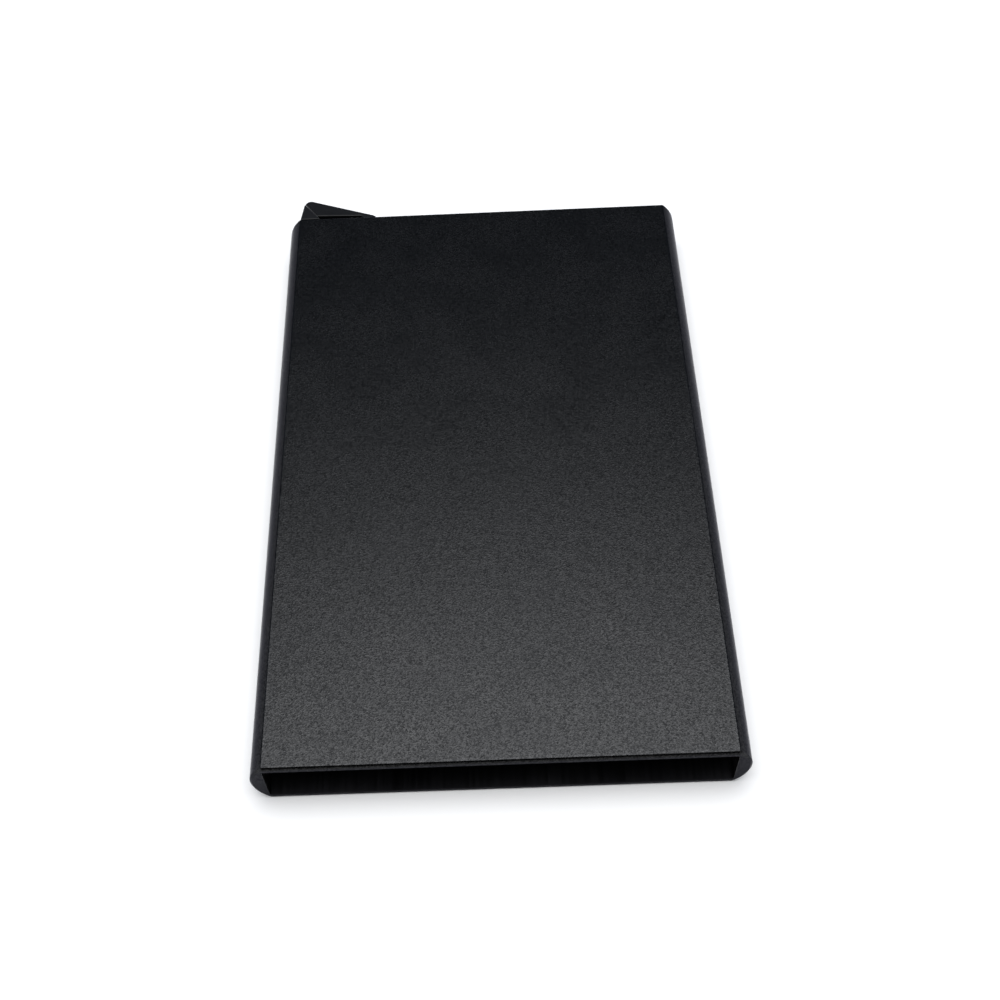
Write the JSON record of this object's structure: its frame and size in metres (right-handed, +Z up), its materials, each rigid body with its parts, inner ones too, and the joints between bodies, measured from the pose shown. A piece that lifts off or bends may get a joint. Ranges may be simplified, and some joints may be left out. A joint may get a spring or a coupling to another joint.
{
  "type": "pop-up card wallet",
  "caption": "Slim black aluminium card sleeve with bowed sides, open card mouth and a stepped thumb lever on a pin that fans the cards out.",
  "frame": {"origin": "centre of the sleeve's flat underside, on the surface that the wallet lies on", "axes": "+X across the wallet, +Y from the card mouth to the lever end, +Z up, out of the upper face"},
  "size_m": [0.061, 0.0997, 0.0082],
  "materials": {
    "anodised_sleeve": "fine bead-blasted, black anodised",
    "plug_plastic": "moulded, fine matt texture",
    "lever_plastic": "moulded, fine matt texture",
    "pin_steel": "ground",
    "strip_pile": "short dense pile"
  },
  "bodies": {
    "case": {"sleeve": "anodised_sleeve", "end_plug": "plug_plastic", "pivot_pin": "pin_steel", "left_friction_strip": "strip_pile", "right_friction_strip": "strip_pile"},
    "lever": {"ejector_lever": "lever_plastic"}
  },
  "joints": [
    {"name": "lever_pivot", "type": "hinge", "parent": "case", "child": "lever", "pos_m": [-0.02305, 0.0423, 0.0041], "axis": [0, 0, -1], "range_deg": [0, 35]}
  ]
}
